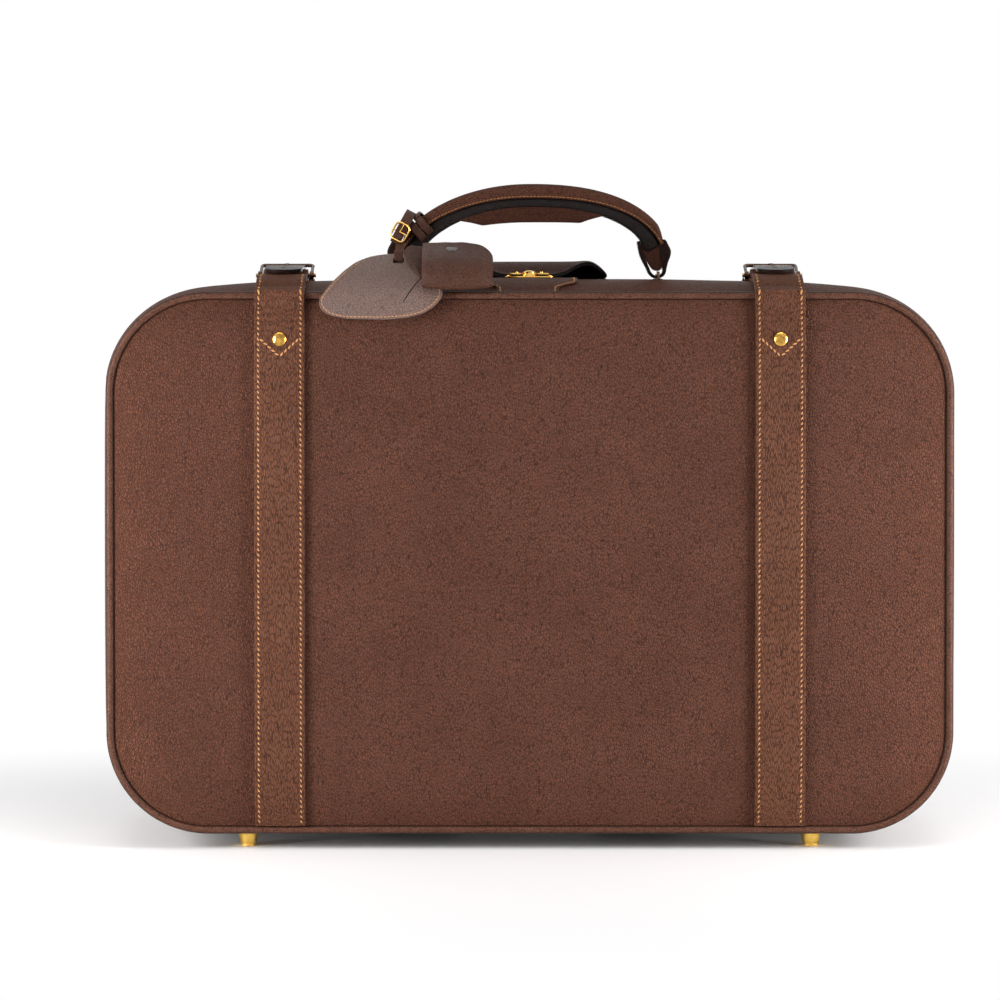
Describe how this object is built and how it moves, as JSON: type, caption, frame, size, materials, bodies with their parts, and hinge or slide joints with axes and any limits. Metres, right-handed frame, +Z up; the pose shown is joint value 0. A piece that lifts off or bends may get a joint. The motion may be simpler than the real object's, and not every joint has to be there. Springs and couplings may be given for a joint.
{
  "type": "leather suitcase",
  "caption": "Leather suitcase with two buckled straps, a lock under the carrying handle, brass feet, a luggage tag and a key case; the rear half opens as a lid.",
  "frame": {"origin": "middle of the case's footprint, on the floor under its four feet", "axes": "+X to the viewer's right along the width, +Y from the front face to the rear lid, +Z up"},
  "size_m": [0.611, 0.1864, 0.471],
  "materials": {
    "case_leather": "fine pebbled grain, semi-gloss",
    "strap_leather": "fine pebbled grain, semi-gloss",
    "dark_leather": "smooth, polished by use",
    "edge_paint": "painted leather edges, glossy",
    "lining_cloth": "plain weave cloth",
    "flap_backing": "smooth black lining leather",
    "brass": "polished, lightly worn",
    "steel": "plain"
  },
  "bodies": {
    "front_half": {"front_panel": "case_leather", "front_gusset": "case_leather", "front_piping": "case_leather", "front_rim_frame": "brass", "front_lining": "lining_cloth", "front_strap_left": "strap_leather", "front_strap_right": "strap_leather", "strap_studs": "brass", "front_feet": "brass", "front_foot_screws": "steel", "front_hinge_leaves": "brass", "hinge_pins": "steel", "lock_patch": "case_leather", "lock_plate": "brass", "lock_case": "steel", "lock_spring": "steel", "handle_staples": "brass", "buckle_bars": "brass"},
    "lid": {"rear_panel": "case_leather", "rear_gusset": "case_leather", "rear_piping": "case_leather", "rear_rim_frame": "brass", "rear_lining": "lining_cloth", "rear_strap_left": "strap_leather", "rear_strap_right": "strap_leather", "rear_feet": "brass", "rear_foot_screws": "steel", "rear_hinge_leaves": "brass"},
    "flap": {"flap_leather": "case_leather", "flap_lining": "flap_backing", "flap_plate": "brass", "flap_rivets": "brass"},
    "lock_button": {"lock_button": "brass"},
    "handle": {"handle_grip": "strap_leather", "handle_core": "edge_paint", "handle_pad": "dark_leather", "handle_loops": "strap_leather", "handle_fillers": "dark_leather", "tag_strap": "dark_leather", "tag_strap_buckle": "brass", "tag_strap_tail": "dark_leather"},
    "luggage_tag": {"tag_front": "strap_leather", "tag_back": "dark_leather"},
    "key_case": {"key_case": "strap_leather", "key_case_snap": "steel", "keys": "steel"},
    "buckle_frame_left": {"buckle_frame_left": "brass"},
    "buckle_frame_right": {"buckle_frame_right": "brass"},
    "buckle_prong_left": {"buckle_prong_left": "brass"},
    "buckle_prong_right": {"buckle_prong_right": "brass"},
    "billet_left": {"billet_left": "dark_leather"},
    "billet_right": {"billet_right": "dark_leather"}
  },
  "joints": [
    {"name": "lid_hinge", "type": "hinge", "parent": "front_half", "child": "lid", "pos_m": [0, 0.03, 0.0044], "axis": [-1, 0, 0], "range_deg": [0, 110]},
    {"name": "flap_hinge", "type": "hinge", "parent": "lid", "child": "flap", "pos_m": [0, 0.054, 0.4013], "axis": [-1, 0, 0], "range_deg": [0, 25]},
    {"name": "lock_button_push", "type": "slide", "parent": "front_half", "child": "lock_button", "axis": [0, 0, -1], "range_m": [0, 0.0014], "stiffness_N_per_m": 300, "springref_m": -0.003, "deforming": ["lock_spring"]},
    {"name": "handle_swing", "type": "hinge", "parent": "front_half", "child": "handle", "pos_m": [0, 0, 0.4065], "axis": [1, 0, 0], "range_deg": [-60, 10], "deforming": ["handle_loops", "handle_fillers", "tag_strap_tail"]},
    {"name": "tag_lift", "type": "hinge", "parent": "front_half", "child": "luggage_tag", "pos_m": [-0.093, -0.062, 0.415], "axis": [-1, 0, 0], "range_deg": [0, 45]},
    {"name": "key_case_lift", "type": "hinge", "parent": "luggage_tag", "child": "key_case", "pos_m": [-0.052, -0.0564, 0.4238], "axis": [-1, 0, 0], "range_deg": [0, 80]},
    {"name": "buckle_frame_left_lift", "type": "hinge", "parent": "front_half", "child": "buckle_frame_left", "pos_m": [-0.176, -0.005, 0.40487], "axis": [1, 0, 0], "range_deg": [0, 60]},
    {"name": "buckle_prong_left_lift", "type": "hinge", "parent": "buckle_frame_left", "child": "buckle_prong_left", "pos_m": [-0.176, -0.005, 0.40487], "axis": [1, 0, 0], "range_deg": [0, 60]},
    {"name": "billet_left_flip", "type": "hinge", "parent": "lid", "child": "billet_left", "pos_m": [-0.176, 0.072, 0.399], "axis": [-1, 0, 0], "range_deg": [0, 120], "deforming": ["billet_left"]},
    {"name": "buckle_frame_right_lift", "type": "hinge", "parent": "front_half", "child": "buckle_frame_right", "pos_m": [0.176, -0.005, 0.40487], "axis": [1, 0, 0], "range_deg": [0, 60]},
    {"name": "buckle_prong_right_lift", "type": "hinge", "parent": "buckle_frame_right", "child": "buckle_prong_right", "pos_m": [0.176, -0.005, 0.40487], "axis": [1, 0, 0], "range_deg": [0, 60]},
    {"name": "billet_right_flip", "type": "hinge", "parent": "lid", "child": "billet_right", "pos_m": [0.176, 0.072, 0.399], "axis": [-1, 0, 0], "range_deg": [0, 120], "deforming": ["billet_right"]}
  ]
}
